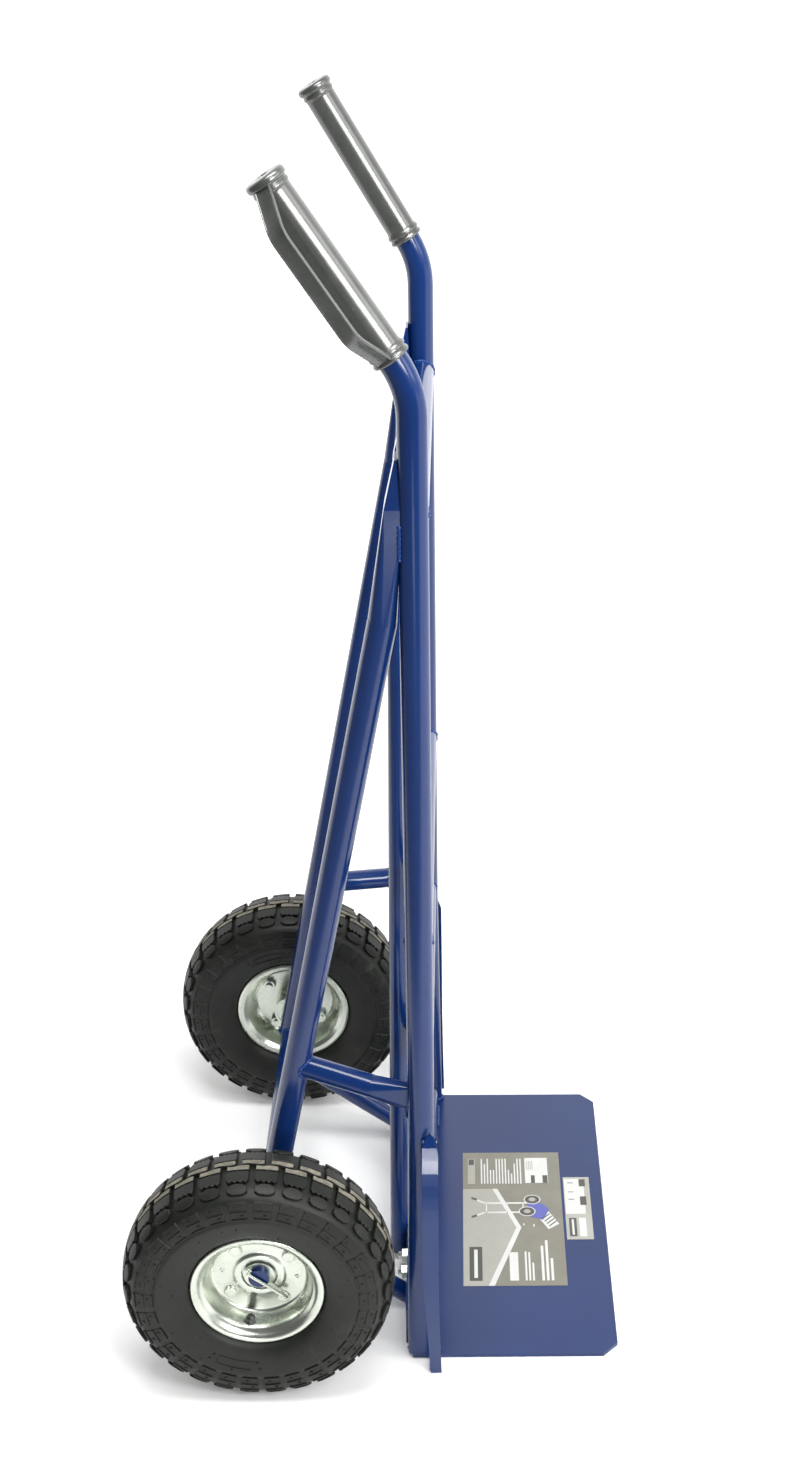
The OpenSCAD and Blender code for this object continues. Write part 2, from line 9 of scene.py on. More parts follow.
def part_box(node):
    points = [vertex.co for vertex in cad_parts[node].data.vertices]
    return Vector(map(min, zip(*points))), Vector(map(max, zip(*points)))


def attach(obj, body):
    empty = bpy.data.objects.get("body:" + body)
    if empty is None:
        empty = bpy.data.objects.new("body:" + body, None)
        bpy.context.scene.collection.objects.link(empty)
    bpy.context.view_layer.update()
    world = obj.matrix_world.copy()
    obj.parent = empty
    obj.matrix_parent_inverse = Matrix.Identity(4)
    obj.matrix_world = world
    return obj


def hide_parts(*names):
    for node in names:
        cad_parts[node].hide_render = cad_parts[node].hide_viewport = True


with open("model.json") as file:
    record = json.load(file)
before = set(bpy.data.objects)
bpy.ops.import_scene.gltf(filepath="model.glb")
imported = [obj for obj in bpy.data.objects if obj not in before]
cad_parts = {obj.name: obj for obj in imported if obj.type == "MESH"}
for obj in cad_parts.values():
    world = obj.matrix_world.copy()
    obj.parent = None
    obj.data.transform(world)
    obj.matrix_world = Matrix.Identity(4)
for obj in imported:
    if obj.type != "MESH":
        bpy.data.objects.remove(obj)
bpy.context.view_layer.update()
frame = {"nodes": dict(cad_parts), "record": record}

NODES = frame["nodes"]
rng = random.Random(11)
scene = bpy.context.scene
MM = 0.001

# ---------------------------------------------------------------- places from the CAD frame

def mid(node):
    lo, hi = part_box(node)
    return [(a + b) / 2 for a, b in zip(lo, hi)]


WHEELS = {"right": -1, "left": 1}
AXLE = Vector(mid("axle"))
HUB = {w: Vector((AXLE.x, mid("tyre_" + w)[1], AXLE.z)) for w in WHEELS}
UPRIGHT_X = mid("crossbar_top")[0]
UPRIGHT_Y = mid("upright_left")[1]


def at(x, y, z):
    """A point given in millimetres from the uprights' centre plane on the floor."""
    return Vector((UPRIGHT_X + x * MM, y * MM, z * MM))


# ---------------------------------------------------------------- camera, light and floor

def make_camera():
    data = bpy.data.cameras.new("camera")
    data.lens = 47.74
    data.sensor_width = 36.0
    data.shift_x = -0.0620
    data.shift_y = -0.0019
    data.clip_start = 0.05
    data.clip_end = 60
    cam = bpy.data.objects.new("camera", data)
    scene.collection.objects.link(cam)
    yaw, pitch, roll = 0.0194, -0.4637, 0.0064
    forward = Vector((math.sin(yaw) * math.cos(pitch), math.cos(yaw) * math.cos(pitch), math.sin(pitch)))
    flat_right = Vector((math.cos(yaw), -math.sin(yaw), 0))
    flat_up = flat_right.cross(forward)
    right = flat_right * math.cos(roll) + flat_up * math.sin(roll)
    up = flat_up * math.cos(roll) - flat_right * math.sin(roll)
    turn = Matrix((right, up, -forward)).transposed()
    cam.matrix_world = Matrix.Translation(at(35.1, -1686.9, 1432.8)) @ turn.to_4x4()
    scene.camera = cam


def area(name, where, target, width, height, power, spread=180):
    data = bpy.data.lights.new(name, "AREA")
    data.shape = "RECTANGLE"
    data.size = width
    data.size_y = height
    data.energy = power
    data.spread = math.radians(spread)
    o = bpy.data.objects.new(name, data)
    o.location = where
    o.rotation_euler = (Vector(target) - Vector(where)).to_track_quat("-Z", "Y").to_euler()
    scene.collection.objects.link(o)
    return o


def make_light():
    """Bright behind and overhead, darker on the camera's side, as in a tent open to the front."""
    world = bpy.data.worlds.new("studio")
    world.use_nodes = True
    tree = world.node_tree
    direction = tree.nodes.new("ShaderNodeTexCoord")
    parts = tree.nodes.new("ShaderNodeSeparateXYZ")
    tree.links.new(direction.outputs["Generated"], parts.inputs[0])

    def graded(socket, stops):
        span = tree.nodes.new("ShaderNodeMapRange")
        span.inputs["From Min"].default_value = -1.0
        tree.links.new(socket, span.inputs["Value"])
        ramp = tree.nodes.new("ShaderNodeValToRGB")
        while len(ramp.color_ramp.elements) < len(stops):
            ramp.color_ramp.elements.new(0.5)
        for element, (place, level) in zip(ramp.color_ramp.elements, stops):
            element.position = (place + 1) / 2
            element.color = (level, level, level, 1)
        tree.links.new(span.outputs[0], ramp.inputs["Fac"])
        return ramp.outputs["Color"]

    depth = graded(parts.outputs["Y"], [(-1.0, 0.10), (-0.4, 0.11), (0.0, 0.22),
                                        (0.4, 0.6), (0.75, 1.6), (1.0, 2.0)])
    sideways = graded(parts.outputs["X"], [(0.25, 0.0), (0.9, 0.6)])
    total = tree.nodes.new("ShaderNodeMix")
    total.data_type = "RGBA"
    total.blend_type = "ADD"
    total.inputs[0].default_value = 1.0
    tree.links.new(depth, total.inputs[6])
    tree.links.new(sideways, total.inputs[7])
    tree.links.new(total.outputs[2], tree.nodes["Background"].inputs["Color"])
    scene.world = world
    scene.view_settings.view_transform = "Standard"
    area("overhead", (0.0, -0.55, 2.6), (0, -0.1, 0.5), 1.3, 0.8, 42)
    area("key", (0.5, -1.6, 2.4), (0, -0.2, 0.9), 0.5, 0.5, 9)
    area("front_right", (1.3, -1.6, 1.65), (-0.05, -0.2, 1.05), 0.9, 0.8, 17, 120)
    area("right", (1.7, -0.5, 1.8), (0, 0, 0.9), 0.7, 1.3, 9)
    area("front_low", (0.05, -2.1, 0.17), (0, -0.2, 0.25), 0.5, 0.16, 0.4, 40)


def make_floor():
    """A pale sheet, with the room beyond it falling off in front of the camera: painted shade makes it dark
    grey there, and a painted glow elsewhere grows away from the middle.
    """
    mesh = bpy.data.meshes.new("floor")
    bm = bmesh.new()
    bmesh.ops.create_grid(bm, x_segments=2, y_segments=2, size=45.0)
    bm.to_mesh(mesh)
    bm.free()
    floor = bpy.data.objects.new("floor", mesh)
    floor.location.z = -0.0004
    scene.collection.objects.link(floor)
    floor.data.materials.append(floor_material())


# ---------------------------------------------------------------- material helpers

class Nodes:
    """A small helper that builds one material's node tree."""

    def __init__(self, name):
        self.mat = bpy.data.materials.new(name)
        self.mat.use_nodes = True
        self.tree = self.mat.node_tree
        self.bsdf = self.tree.nodes["Principled BSDF"]
        self.coords = self.add("ShaderNodeTexCoord").outputs["Object"]

    def add(self, kind, **props):
        n = self.tree.nodes.new(kind)
        for k, v in props.items():
            setattr(n, k, v)
        return n

    def link(self, a, b):
        self.tree.links.new(a, b)

    def set(self, **values):
        for k, v in values.items():
            self.bsdf.inputs[k.replace("_", " ")].default_value = v

    def noise(self, scale, detail=4.0, rough=0.55, stretch=None):
        n = self.add("ShaderNodeTexNoise")
        n.inputs["Scale"].default_value = scale
        n.inputs["Detail"].default_value = detail
        n.inputs["Roughness"].default_value = rough
        src = self.coords
        if stretch:
            m = self.add("ShaderNodeMapping")
            m.inputs["Scale"].default_value = stretch
            self.link(src, m.inputs["Vector"])
            src = m.outputs["Vector"]
        self.link(src, n.inputs["Vector"])
        return n.outputs["Fac"]

    def ramp(self, value, stops):
        r = self.add("ShaderNodeValToRGB")
        ramp = r.color_ramp
        while len(ramp.elements) < len(stops):
            ramp.elements.new(0.5)
        for e, (pos, col) in zip(ramp.elements, stops):
            e.position = pos
            e.color = col if len(col) == 4 else (*col, 1)
        self.link(value, r.inputs["Fac"])
        return r.outputs["Color"]

    def scalar(self, value, lo, hi, from_lo=0.0, from_hi=1.0):
        m = self.add("ShaderNodeMapRange")
        m.inputs["From Min"].default_value = from_lo
        m.inputs["From Max"].default_value = from_hi
        m.inputs["To Min"].default_value = lo
        m.inputs["To Max"].default_value = hi
        self.link(value, m.inputs["Value"])
        return m.outputs["Result"]

    def mix(self, fac, a, b):
        m = self.add("ShaderNodeMix", data_type="RGBA")
        for socket, value in ((m.inputs[0], fac), (m.inputs[6], a), (m.inputs[7], b)):
            if isinstance(value, (tuple, list)):
                socket.default_value = value if len(value) == 4 else (*value, 1)
            elif isinstance(value, (int, float)):
                socket.default_value = value
            else:
                self.link(value, socket)
        return m.outputs[2]

    def bump(self, *layers):
        """Each layer is (height, strength, distance in metres)."""
        previous = None
        for height, strength, distance in layers:
            b = self.add("ShaderNodeBump")
            b.inputs["Strength"].default_value = strength
            b.inputs["Distance"].default_value = distance
            self.link(height, b.inputs["Height"])
            if previous:
                self.link(previous, b.inputs["Normal"])
            previous = b.outputs["Normal"]
        self.link(previous, self.bsdf.inputs["Normal"])

    def colour(self, socket):
        self.link(socket, self.bsdf.inputs["Base Color"])

    def rough(self, socket):
        self.link(socket, self.bsdf.inputs["Roughness"])


def floor_material():
    n = Nodes("studio_floor")
    parts = n.add("ShaderNodeSeparateXYZ")
    n.link(n.coords, parts.inputs[0])
    slant = n.add("ShaderNodeMath", operation="MULTIPLY_ADD")
    slant.inputs[1].default_value = 0.55
    n.link(parts.outputs["X"], slant.inputs[0])
    n.link(parts.outputs["Y"], slant.inputs[2])
    # painted shade and painted glow: the colour falls to dark grey towards the camera's side, and the floor's
    # painted glow, weak near the middle, fades out there too
    painted_light_mask = n.scalar(slant.outputs[0], 0.0, 1.0, -0.98, -0.66)
    n.colour(n.mix(painted_light_mask, (0.30, 0.30, 0.30), (0.93, 0.93, 0.925)))
    n.bsdf.inputs["Emission Color"].default_value = (1, 1, 1, 1)
    reach = n.add("ShaderNodeVectorMath", operation="LENGTH")
    n.link(n.coords, reach.inputs[0])
    far = n.scalar(reach.outputs["Value"], 0.12, 1.0, 0.5, 2.4)
    painted_glow = n.add("ShaderNodeMath", operation="MULTIPLY")
    n.link(painted_light_mask, painted_glow.inputs[0])
    n.link(far, painted_glow.inputs[1])
    n.link(painted_glow.outputs[0], n.bsdf.inputs["Emission Strength"])
    n.set(Roughness=0.8, Specular_IOR_Level=0.1)
    return n.mat


def blue_paint():
    n = Nodes("blue_powder_coat")
    broad = n.noise(9, 3)
    fine = n.noise(700, 3)
    scratch = n.noise(150, 8, 0.72, (1.0, 1.0, 0.1))
    base = n.ramp(broad, [(0.3, (0.0030, 0.020, 0.104)), (0.7, (0.0042, 0.026, 0.126))])
    marks = n.ramp(scratch, [(0.71, (0, 0, 0)), (0.80, (1, 1, 1))])
    n.colour(n.mix(marks, base, (0.035, 0.085, 0.26)))
    n.rough(n.scalar(n.noise(35, 5), 0.11, 0.20))
    n.set(IOR=1.5)
    n.bump((fine, 0.06, 0.0003), (broad, 0.04, 0.002))
    return n.mat


def weld_paint():
    n = Nodes("blue_weld")
    ripple = n.noise(420, 4)
    n.colour(n.ramp(n.noise(60, 3), [(0.3, (0.005, 0.032, 0.155)), (0.7, (0.008, 0.045, 0.20))]))
    n.rough(n.scalar(ripple, 0.18, 0.36))
    n.set(IOR=1.4)
    n.bump((ripple, 0.5, 0.0010))
    return n.mat


def zinc(name="zinc_plate", tint=1.0):
    n = Nodes(name)
    cloud = n.noise(26, 5, 0.6)
    grain = n.noise(300, 6, 0.7, (1, 1, 1))
    base = n.ramp(cloud, [(0.25, (0.54 * tint, 0.58 * tint, 0.51 * tint)),
                          (0.6, (0.67 * tint, 0.705 * tint, 0.63 * tint)),
                          (0.85, (0.75 * tint, 0.77 * tint, 0.70 * tint))])
    n.colour(base)
    n.rough(n.scalar(cloud, 0.20, 0.36))
    n.set(Metallic=1.0)
    n.bump((grain, 0.05, 0.0002), (cloud, 0.03, 0.003))
    return n.mat


def rubber(name="tyre_rubber", dusty=False):
    n = Nodes(name)
    blotch = n.noise(38, 6, 0.65)
    speck = n.noise(700, 4, 0.6)
    black = n.ramp(blotch, [(0.3, (0.0058, 0.0068, 0.0052)), (0.62, (0.011, 0.0125, 0.0098)),
                            (0.9, (0.045, 0.047, 0.036))])
    if dusty:
        dust = n.ramp(n.noise(120, 6, 0.7), [(0.28, (0.08, 0.074, 0.058)), (0.55, (0.2, 0.185, 0.145)),
                                            (0.8, (0.3, 0.28, 0.225))])
        n.colour(dust)
        n.rough(n.scalar(blotch, 0.75, 0.95))
    else:
        n.colour(black)
        n.rough(n.scalar(blotch, 0.40, 0.60))
        n.set(Specular_IOR_Level=0.36)
    n.bump((speck, 0.18, 0.0005), (blotch, 0.08, 0.002))
    return n.mat


def cap_plastic():
    n = Nodes("valve_cap_plastic")
    cloud = n.noise(160, 4)
    n.colour(n.ramp(cloud, [(0.3, (0.020, 0.021, 0.020)), (0.7, (0.045, 0.046, 0.042))]))
    n.rough(n.scalar(cloud, 0.22, 0.36))
    n.bump((n.noise(900, 3), 0.08, 0.0003))
    return n.mat


def grip_plastic():
    n = Nodes("grip_plastic")
    cloud = n.noise(40, 5, 0.6)
    grain = n.noise(1100, 3)
    scuff = n.noise(190, 8, 0.75, (0.5, 1.0, 0.35))
    patch = n.noise(17, 3, 0.5)
    base = n.ramp(cloud, [(0.3, (0.038, 0.041, 0.037)), (0.7, (0.062, 0.066, 0.060))])
    worn = n.ramp(scuff, [(0.63, (0, 0, 0)), (0.72, (1, 1, 1))])
    where = n.ramp(patch, [(0.48, (0, 0, 0)), (0.58, (1, 1, 1))])
    both = n.mix(where, (0, 0, 0), worn)
    n.colour(n.mix(both, base, (0.42, 0.43, 0.40)))
    n.rough(n.scalar(cloud, 0.20, 0.30))
    n.set(IOR=1.95)
    n.bump((grain, 0.06, 0.0001))
    return n.mat


def ink(name, tone):
    n = Nodes(name)
    low = tuple(c * 0.93 for c in tone)
    n.colour(n.ramp(n.noise(90, 4), [(0.3, low), (0.7, tone)]))
    n.rough(n.scalar(n.noise(25, 3), 0.28, 0.42))
    n.bump((n.noise(600, 2), 0.04, 0.0002))
    return n.mat


def label_film(name, light, dark):
    n = Nodes(name)
    cloud = n.noise(55, 4)
    n.colour(n.ramp(cloud, [(0.3, dark), (0.7, light)]))
    n.rough(n.scalar(n.noise(25, 3), 0.3, 0.45))
    n.set(Coat_Weight=0.3, Coat_Roughness=0.1)
    n.bump((n.noise(500, 2), 0.05, 0.0003))
    return n.mat


# ---------------------------------------------------------------- mesh helpers

def new_object(name, verts, faces, mats, body, slots=None, smooth=True, angle=35):
    mesh = bpy.data.meshes.new(name)
    mesh.from_pydata([tuple(v) for v in verts], [], faces)
    for m in mats:
        mesh.materials.append(m)
    if slots:
        mesh.polygons.foreach_set("material_index", slots)
    bm = bmesh.new()
    bm.from_mesh(mesh)
    bmesh.ops.recalc_face_normals(bm, faces=bm.faces)
    bm.to_mesh(mesh)
    bm.free()
    if smooth:
        mesh.polygons.foreach_set("use_smooth", [True] * len(mesh.polygons))
        mesh.set_sharp_from_angle(angle=math.radians(angle))
    o = bpy.data.objects.new(name, mesh)
    scene.collection.objects.link(o)
    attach(o, body)
    return o


def wheel_matrix(wheel):
    """Wheel frame, in millimetres, z outboard, to the row frame in metres."""
    outboard = Matrix.Rotation(math.radians(-90 * WHEELS[wheel]), 4, "X")
    return Matrix.Translation(HUB[wheel]) @ outboard @ Matrix.Scale(MM, 4)


def spline(points, steps):
    """A smooth Catmull-Rom line through the points."""
    out = []
    n = len(points)
    for i in range(n - 1):
        p0 = points[max(i - 1, 0)]
        p1, p2 = points[i], points[i + 1]
        p3 = points[min(i + 2, n - 1)]
        for k in range(steps):
            t = k / steps
            out.append(tuple(
                0.5 * (2 * b + (c - a) * t + (2 * a - 5 * b + 4 * c - d) * t * t
                       + (3 * b - a - 3 * c + d) * t ** 3)
                for a, b, c, d in zip(p0, p1, p2, p3)))
    out.append(tuple(points[-1]))
    return out


def lathe(profile, segments, closed=True):
    """Verts and faces of a profile of (radius, z) turned about z."""
    verts, faces = [], []
    m = len(profile)
    for k in range(segments):
        a = 2 * math.pi * k / segments
        c, s = math.cos(a), math.sin(a)
        verts += [(r * c, r * s, z) for r, z in profile]
    rows = m if closed else m - 1
    for k in range(segments):
        a, b = k * m, ((k + 1) % segments) * m
        for i in range(rows):
            j = (i + 1) % m
            faces.append((a + i, a + j, b + j, b + i))
    return verts, faces


def placed(verts, matrix):
    return [matrix @ Vector(v) for v in verts]


class Batch:
    """Gathers many small shapes into one mesh."""

    def __init__(self):
        self.verts, self.faces, self.slots = [], [], []

    def add(self, verts, faces, slot=0):
        base = len(self.verts)
        self.verts += [tuple(v) for v in verts]
        self.faces += [tuple(base + i for i in f) for f in faces]
        self.slots += [slot] * len(faces)

    def turned(self, count, step):
        """Repeats what is gathered, turned about z."""
        out = Batch()
        for k in range(count):
            c, s = math.cos(k * step), math.sin(k * step)
            base = len(out.verts)
            out.verts += [(x * c - y * s, x * s + y * c, z) for x, y, z in self.verts]
            out.faces += [tuple(base + i for i in f) for f in self.faces]
            out.slots += self.slots
        return out

    def merge(self, other):
        base = len(self.verts)
        self.verts += other.verts
        self.faces += [tuple(base + i for i in f) for f in other.faces]
        self.slots += other.slots


# ---------------------------------------------------------------- tyre

# the tyre's outer half section in mm, as radius and distance from the middle plane
TREAD_R = 130
TYRE_OUTER = [(TREAD_R, 0), (129.8, 7), (128.8, 14), (126.6, 25), (123, 32.4), (118, 36.6), (112, 39.2),
              (105, 40.6), (95, 40.5), (85, 38.6), (75, 35), (68, 30.5), (65, 27), (64.6, 25)]
PITCHES = 30


class Section:
    """The tyre's outside by arc length s from the crown, with its normal."""

    def __init__(self, points):
        pts = spline(points, 8)
        self.pts = pts
        self.s = [0.0]
        for a, b in zip(pts, pts[1:]):
            self.s.append(self.s[-1] + math.dist(a, b))
        self.length = self.s[-1]

    def at(self, s, h=0.0):
        side = -1 if s < 0 else 1
        s = min(abs(s), self.length - 1e-6)
        i = 0
        while self.s[i + 1] < s:
            i += 1
        a, b = self.pts[i], self.pts[i + 1]
        t = (s - self.s[i]) / (self.s[i + 1] - self.s[i])
        r, z = a[0] + (b[0] - a[0]) * t, a[1] + (b[1] - a[1]) * t
        length = math.dist(a, b)
        nr, nz = (b[1] - a[1]) / length, -(b[0] - a[0]) / length
        return r + nr * h, side * (z + nz * h)


SECTION = Section(TYRE_OUTER)


def surface(u, s, h):
    """Point of the tyre at u mm along the tread, s mm from the crown, h mm above the outside."""
    a = u / TREAD_R
    r, z = SECTION.at(s, h)
    return (r * math.cos(a), r * math.sin(a), z)


def carcass_depth(s):
    """How far the casing lies under the tread's outside."""
    s = abs(s)
    if s < 33:
        return -4.0
    if s < 42:
        return -4.0 + 2.2 * (s - 33) / 9
    if s < 61:
        return -1.8
    if s < 65:
        return -1.8 * (65 - s) / 4
    return 0.0


def block(batch, us, top_edge, bottom_edge, rows, floor_h, top_h, slot, bevel=0.5):
    """A raised tread block between two edges given as functions of u."""
    def grid(inset, h):
        pts = []
        left, right = us[0], us[-1]
        for j in range(rows + 1):
            for u in us:
                f = (u - left) / (right - left)
                uu = left + inset + (right - left - 2 * inset) * f
                a, b = top_edge(u) + inset, bottom_edge(u) - inset
                pts.append(surface(uu, a + (b - a) * j / rows, h))
        return pts
    n = len(us)
    top = grid(bevel, top_h)
    batch.add(top, [(j * n + i, j * n + i + 1, (j + 1) * n + i + 1, (j + 1) * n + i)
                    for j in range(rows) for i in range(n - 1)], slot)
    ring = (list(range(n)) + [j * n + n - 1 for j in range(1, rows + 1)]
            + [rows * n + i for i in range(n - 2, -1, -1)] + [j * n for j in range(rows - 1, 0, -1)])
    shoulder, foot = grid(0, top_h - bevel * 0.8), grid(0, floor_h)
    m = len(ring)
    loops = [top[i] for i in ring] + [shoulder[i] for i in ring] + [foot[i] for i in ring]
    faces = []
    for k in range(2):
        for i in range(m):
            j = (i + 1) % m
            faces.append((k * m + i, k * m + j, (k + 1) * m + j, (k + 1) * m + i))
    batch.add(loops, faces, 0)


def tread_half(side, shift):
    """One pitch of tread on one half of the tyre."""
    b = Batch()
    pitch = 2 * math.pi * TREAD_R / PITCHES
    w = pitch * 0.39

    def grid(lo, hi, count):
        return [shift + lo + (hi - lo) * i / count for i in range(count + 1)]

    def put(us, top, bottom, rows, lo, hi, slot, bevel=0.5):
        if side > 0:
            block(b, us, top, bottom, rows, lo, hi, slot, bevel)
        else:
            block(b, us, lambda u: -bottom(u), lambda u: -top(u), rows, lo, hi, slot, bevel)

    def zigzag(u):
        f = (u - shift + w) / (2 * w)
        tooth = abs(((f * 4) % 1.0) - 0.5) * 2
        edge = 1.8 * max(0.0, abs(f - 0.5) * 2 - 0.72) / 0.28
        return 20.3 + 1.9 * (1 - tooth) - edge

    def middle(u):
        f = (u - shift) / w
        return 0.9 + 0.7 * math.sin(3.1 * f)

    # dusty inner strip of the centre block, a slit, then its grey outer part
    put(grid(-w, w, 8), middle, lambda u: 7.2, 2, -5.6, 0.0, 1)
    put(grid(-0.9, 0.9, 2), lambda u: 7.0, lambda u: 8.6, 1, -5.6, -0.5, 0, 0.1)
    put(grid(-w, w, 16), lambda u: 8.4, zigzag, 3, -5.6, 0.0, 0)

    # pointed second lug
    def roof(u):
        f = abs(u - shift) / w
        return 23.4 + max(0.0, f - 0.35) * 6.0

    def eave(u):
        f = (u - shift) / w
        return 35.0 - max(0.0, abs(f) - 0.45) * 6.0 - 0.9 * (1 - abs((abs(f) * 3) % 1.0 - 0.5) * 2)

    put(grid(-w * 0.93, w * 0.93, 14), roof, eave, 3, -5.6, -0.3, 0)
    # low panel and bars down the shoulder
    put(grid(-w * 0.98, w * 0.98, 6), lambda u: 41.5, lambda u: 61.5, 4, -3.0, -1.25, 0, 0.9)
    for s in (42.6, 51.6, 60.0):
        put(grid(-w * 0.9, w * 0.9, 6), lambda u, s=s: s, lambda u, s=s: s + 1.5, 1, -1.6, -0.1, 0, 0.25)
    for s, u0 in ((47.0, 0.35), (55.8, -0.3)):
        put(grid(w * u0 - 1.6, w * u0 + 1.6, 2), lambda u, s=s: s, lambda u, s=s: s + 1.7,
            1, -1.6, -0.3, 0, 0.3)
    return b


def sidewall_marks(side):
    """Vent nubs and one plain outlined bar low on the sidewall."""
    b = Batch()

    def nub(u, s, r, h):
        pts = [surface(u, side * s, h)]
        for ring, (k, hh) in enumerate(((0.6, h * 0.8), (1.0, -0.3))):
            for i in range(8):
                a = math.pi / 4 * i
                uu = u + r * k * math.cos(a) * TREAD_R / SECTION.at(s)[0]
                pts.append(surface(uu, side * (s + r * k * math.sin(a)), hh))
        faces = [(0, 1 + i, 1 + (i + 1) % 8) for i in range(8)]
        faces += [(1 + i, 9 + i, 9 + (i + 1) % 8, 1 + (i + 1) % 8) for i in range(8)]
        b.add(pts, faces)

    local = random.Random(5 if side > 0 else 6)
    for k in range(26):
        u = 2 * math.pi * TREAD_R * (k + local.uniform(-0.25, 0.25)) / 26
        nub(u, local.choice((68.5, 73.0, 80.0, 85.5)), local.uniform(0.6, 1.0), local.uniform(0.7, 1.3))

    def strip(u0, u1, s0, s1, h):
        count = max(2, int(abs(u1 - u0) / 3))
        pts = []
        for i in range(count + 1):
            u = u0 + (u1 - u0) * i / count
            for s, hh in ((s0, -0.3), (s0 + 0.15, h), (s1 - 0.15, h), (s1, -0.3)):
                pts.append(surface(u, side * s, hh))
        faces = [(i * 4 + j, i * 4 + j + 1, i * 4 + j + 5, i * 4 + j + 4)
                 for i in range(count) for j in range(3)]
        faces += [(0, 1, 2, 3), tuple(count * 4 + j for j in range(4))]
        b.add(pts, faces)

    u0 = TREAD_R * math.radians(-107)
    half = 25
    strip(u0 - half, u0 + half, 70.6, 72.0, 0.9)
    strip(u0 - half, u0 + half, 78.6, 80.0, 0.9)
    strip(u0 - half - 1.8, u0 - half, 70.6, 80.0, 0.9)
    strip(u0 + half, u0 + half + 1.8, 70.6, 80.0, 0.9)
    for du, s in ((-half - 13, 73.0), (-half - 10, 78.6), (half + 9, 79.0), (half + 13, 72.5)):
        nub(u0 + du, s, 1.8, 1.6)
    return b


def make_tyre(wheel, mats):
    outer = [SECTION.at(s, carcass_depth(s)) for s in
             [i * 3.0 for i in range(21)]
             + [61, 63, 65, 66.2, 67.4, 70, 74, 78, 82, 86, 88, 89, 90, 92, 94, SECTION.length]]
    inside = [(64.6, 23.4), (61.6, 23.6), (58, 23.6), (55.8, 21.6), (54, 18.5), (54, 11), (61.2, 17.4),
              (70.6, 27.4), (83.8, 33.5), (97, 35.6), (109.4, 33), (118, 24), (121.0, 10)]
    profile = (outer + inside + [(r, -z) for r, z in reversed(inside)]
               + [(r, -z) for r, z in reversed(outer[1:])])
    verts, faces = lathe(profile, 180)
    whole = Batch()
    whole.add(verts, faces)
    step = 2 * math.pi / PITCHES
    for side, shift in ((1, 0.0), (-1, math.pi * TREAD_R / PITCHES)):
        whole.merge(tread_half(side, shift).turned(PITCHES, step))
        whole.merge(sidewall_marks(side))
    o = new_object("tyre_tread_" + wheel, placed(whole.verts, wheel_matrix(wheel)), whole.faces, mats,
                   "wheel_" + wheel, whole.slots, angle=28)
    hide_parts("tyre_" + wheel)


# ---------------------------------------------------------------- rim

BOLT_CIRCLE = 36


def make_rim(wheel, mat):
    """The outer pressed rim half: disc, hub ring, wall, seat and rolled flange."""
    top = [(16.8, 3.0), (17.0, 4.1), (17.8, 4.6), (22.6, 4.6), (23.9, 4.1), (25.4, 2.5), (26.6, 2.0),
           (43.0, 2.0), (44.8, 2.5), (46.3, 4.4), (47.6, 8.4), (50.0, 15.6), (51.4, 19.6), (53.0, 21.4),
           (54.6, 22.0), (56.0, 24.4), (58.0, 26.6), (60.4, 27.6), (62.3, 27.9), (63.5, 27.2),
           (64.0, 26.0), (63.9, 24.6)]
    under = [(62.6, 24.6), (61.6, 26.0), (58.6, 25.2), (56.8, 23.6), (55.4, 21.2), (53.4, 20.4), (52.4, 18.8),
             (50.4, 13.6), (48.2, 5.2), (46.6, 1.0), (44.8, 0.1), (26.0, 0.1), (23.2, 2.4), (16.8, 2.4)]
    verts, faces = lathe(top + under, 144)
    o = new_object("rim_face_" + wheel, placed(verts, wheel_matrix(wheel)), faces, [mat],
                   "wheel_" + wheel, angle=50)
    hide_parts("rim_outer_" + wheel)
    # rivets pressed into the disc
    b = Batch()
    for angle in (-6, 173):
        rivet(b, BOLT_CIRCLE, angle, 2.0, 0.9, 2.4)
    new_object("rim_rivets_" + wheel, placed(b.verts, wheel_matrix(wheel)), b.faces, [mat], "wheel_" + wheel,
               angle=40)


def ring_faces(rings, n):
    """Quads between rings of n points each."""
    return [(j * n + i, j * n + (i + 1) % n, (j + 1) * n + (i + 1) % n, (j + 1) * n + i)
            for j in range(rings - 1) for i in range(n)]


def rivet(b, r, angle, z, height, radius):
    """A low rivet with a hollow in its head."""
    a = math.radians(angle)
    cx, cy = r * math.cos(a), r * math.sin(a)
    rings = [(1.0, 0.0), (1.0, 0.35), (0.85, 0.9), (0.6, 1.0), (0.5, 0.75), (0.3, 0.3), (0.0, 0.2)]
    n = 20
    verts = []
    for k, hgt in rings:
        for i in range(n):
            t = 2 * math.pi * i / n
            verts.append((cx + radius * k * math.cos(t), cy + radius * k * math.sin(t), z + height * hgt))
    b.add(verts, ring_faces(len(rings), n))


def make_rim_bolts(wheel, mat):
    """Low domed heads, each in its own shallow seat."""
    b = Batch()
    for k in range(4):
        angle = 37 + 90 * k
        a = math.radians(angle)
        cx, cy = BOLT_CIRCLE * math.cos(a), BOLT_CIRCLE * math.sin(a)
        n = 28
        rings = [(7.6, 2.02), (7.2, 2.25), (6.5, 2.1), (6.2, 2.2), (6.1, 3.2), (5.7, 3.9), (4.8, 4.15),
                 (2.5, 4.3), (0.01, 4.35)]
        verts = [(cx + r * math.cos(2 * math.pi * i / n), cy + r * math.sin(2 * math.pi * i / n), z)
                 for r, z in rings for i in range(n)]
        b.add(verts, ring_faces(len(rings), n))
    new_object("bolt_heads_" + wheel, placed(b.verts, wheel_matrix(wheel)), b.faces, [mat], "wheel_" + wheel,
               b.slots, angle=40)


